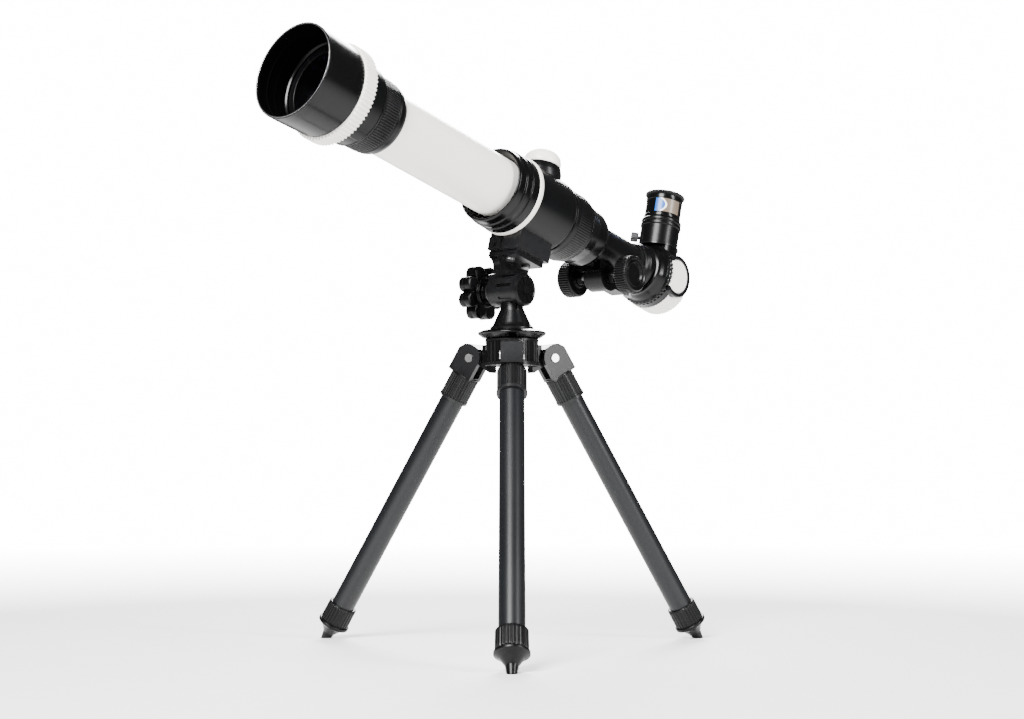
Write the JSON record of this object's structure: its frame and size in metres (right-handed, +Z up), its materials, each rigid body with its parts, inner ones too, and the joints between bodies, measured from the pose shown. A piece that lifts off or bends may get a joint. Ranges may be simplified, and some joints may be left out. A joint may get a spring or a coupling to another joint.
{
  "type": "telescope on tripod",
  "caption": "Small refracting telescope with lens hood, rack focuser, diagonal and eyepiece on a tilting head over a folding table-top tripod.",
  "frame": {"origin": "middle of the footprint of the whole object, on the surface it stands on", "axes": "+Z up; the telescope points along -X, raised by its tilt; +X points to the eyepiece end and -Y is the side with the end cap of the tilt head"},
  "size_m": [0.4574, 0.2914, 0.436],
  "materials": {
    "gloss_black": "glossy injection-moulded black plastic",
    "satin_black": "satin black plastic with a fine moulded grain",
    "off_white": "satin off-white plastic",
    "leg_black": "satin black coated aluminium tube",
    "flat_black": "flat black, against stray light",
    "bright_metal": "bare drawn aluminium",
    "steel": "zinc-plated steel",
    "dark_metal": "black oxide metal",
    "brass": "turned brass",
    "lens": "coated optical glass",
    "window": "clear plastic window",
    "mirror": "front-silvered mirror",
    "dial": "printed compass card",
    "needle_red": "red lacquer",
    "band": "printed colour band"
  },
  "bodies": {
    "tripod": {"hub": "satin_black", "hinge_pins": "steel"},
    "leg_left": {"leg_head_left": "satin_black", "leg_tube_left": "leg_black", "leg_foot_left": "satin_black"},
    "leg_front": {"leg_head_front": "satin_black", "leg_tube_front": "leg_black", "leg_foot_front": "satin_black"},
    "leg_right": {"leg_head_right": "satin_black", "leg_tube_right": "leg_black", "leg_foot_right": "satin_black"},
    "head": {"pan_disc": "satin_black", "pan_head": "satin_black", "head_end_cap": "satin_black", "tilt_bolt": "steel", "tilt_washer": "dark_metal", "pan_bolt": "steel"},
    "telescope": {"objective_cell": "gloss_black", "lens_retainer": "flat_black", "objective_lens": "lens", "hood_ring": "off_white", "main_tube": "off_white", "tube_baffle": "flat_black", "front_collar": "gloss_black", "trim_ring": "off_white", "rear_housing": "gloss_black", "tail_cone": "gloss_black", "compass_base": "satin_black", "compass_bezel": "off_white", "compass_dial": "dial", "compass_window": "window", "saddle_block": "satin_black", "tilt_arm": "satin_black", "saddle_screws": "dark_metal", "focuser_body": "satin_black"},
    "hood": {"lens_hood": "gloss_black"},
    "needle": {"compass_needle": "needle_red"},
    "clamp_knob": {"clamp_knob": "satin_black"},
    "draw": {"draw_tube": "bright_metal", "focus_rack": "satin_black", "draw_collar": "satin_black"},
    "diagonal_screw": {"draw_lock_screw": "dark_metal"},
    "focus_drive": {"focus_shaft": "steel", "focus_pinion": "brass", "focus_knob_near": "satin_black", "focus_knob_far": "satin_black"},
    "diagonal": {"diagonal_collar": "gloss_black", "diagonal_body": "gloss_black", "diagonal_mirror": "mirror", "diagonal_rear_ring": "off_white", "diagonal_back_plate": "satin_black", "side_bezel": "gloss_black", "side_cover": "off_white", "eyepiece_holder": "satin_black"},
    "eyepiece_screw": {"eyepiece_lock_screw": "dark_metal"},
    "eyepiece": {"eyepiece_barrel": "bright_metal", "eyepiece_body": "gloss_black", "eyepiece_band": "band", "eyecup": "gloss_black", "eyepiece_lenses": "lens"}
  },
  "joints": [
    {"name": "turntable", "type": "hinge", "parent": "tripod", "child": "head", "pos_m": [0.00944, -0.02764, 0.27077], "axis": [0, 0, 1], "continuous": true},
    {"name": "leg_left_fold", "type": "hinge", "parent": "tripod", "child": "leg_left", "pos_m": [0.00369, 0.00495, 0.21977], "axis": [-0.9848, -0.1736, 0], "range_deg": [0, 32.3]},
    {"name": "leg_front_fold", "type": "hinge", "parent": "tripod", "child": "leg_front", "pos_m": [-0.01592, -0.04892, 0.21977], "axis": [0.6428, -0.766, 0], "range_deg": [0, 32.3]},
    {"name": "leg_right_fold", "type": "hinge", "parent": "tripod", "child": "leg_right", "pos_m": [0.04054, -0.03896, 0.21977], "axis": [0.342, 0.9397, 0], "range_deg": [0, 32.3]},
    {"name": "tilt", "type": "hinge", "parent": "head", "child": "telescope", "pos_m": [0.00944, -0.02764, 0.27077], "axis": [0, 1, 0], "range_deg": [-29.5, 45.5]},
    {"name": "clamp_knob_turn", "type": "hinge", "parent": "head", "child": "clamp_knob", "pos_m": [0.00944, -0.02764, 0.27077], "axis": [0, 1, 0], "range_deg": [0, 360]},
    {"name": "hood_pull", "type": "slide", "parent": "telescope", "child": "hood", "axis": [-0.9681, 0, 0.2504], "range_m": [0, 0.008]},
    {"name": "compass_needle_swing", "type": "hinge", "parent": "telescope", "child": "needle", "pos_m": [0.04566, -0.02764, 0.37089], "axis": [0.2504, 0, 0.9681], "continuous": true},
    {"name": "focus_slide", "type": "slide", "parent": "telescope", "child": "draw", "axis": [0.9681, 0, -0.2504], "range_m": [0, 0.04]},
    {"name": "focus_knob_turn", "type": "hinge", "parent": "telescope", "child": "focus_drive", "pos_m": [0.12197, -0.02764, 0.29054], "axis": [0, 1, 0], "range_deg": [0, 478]},
    {"name": "diagonal_turn", "type": "hinge", "parent": "draw", "child": "diagonal", "pos_m": [0.17076, -0.02764, 0.30104], "axis": [0.9681, 0, -0.2504], "range_deg": [-90, 90]},
    {"name": "diagonal_screw_turn", "type": "hinge", "parent": "draw", "child": "diagonal_screw", "pos_m": [0.16089, -0.02764, 0.28924], "axis": [-0.2504, 0, -0.9681], "range_deg": [0, 720]},
    {"name": "eyepiece_slide", "type": "slide", "parent": "diagonal", "child": "eyepiece", "axis": [0.2504, 0, 0.9681], "range_m": [0, 0.02]},
    {"name": "eyepiece_screw_turn", "type": "hinge", "parent": "diagonal", "child": "eyepiece_screw", "pos_m": [0.20272, -0.02764, 0.32717], "axis": [-0.6603, 0.7314, 0.1708], "range_deg": [0, 720]}
  ],
  "couplings": [
    {"joint": "focus_knob_turn", "follows": "focus_slide", "rad_per_m": 208.33}
  ]
}
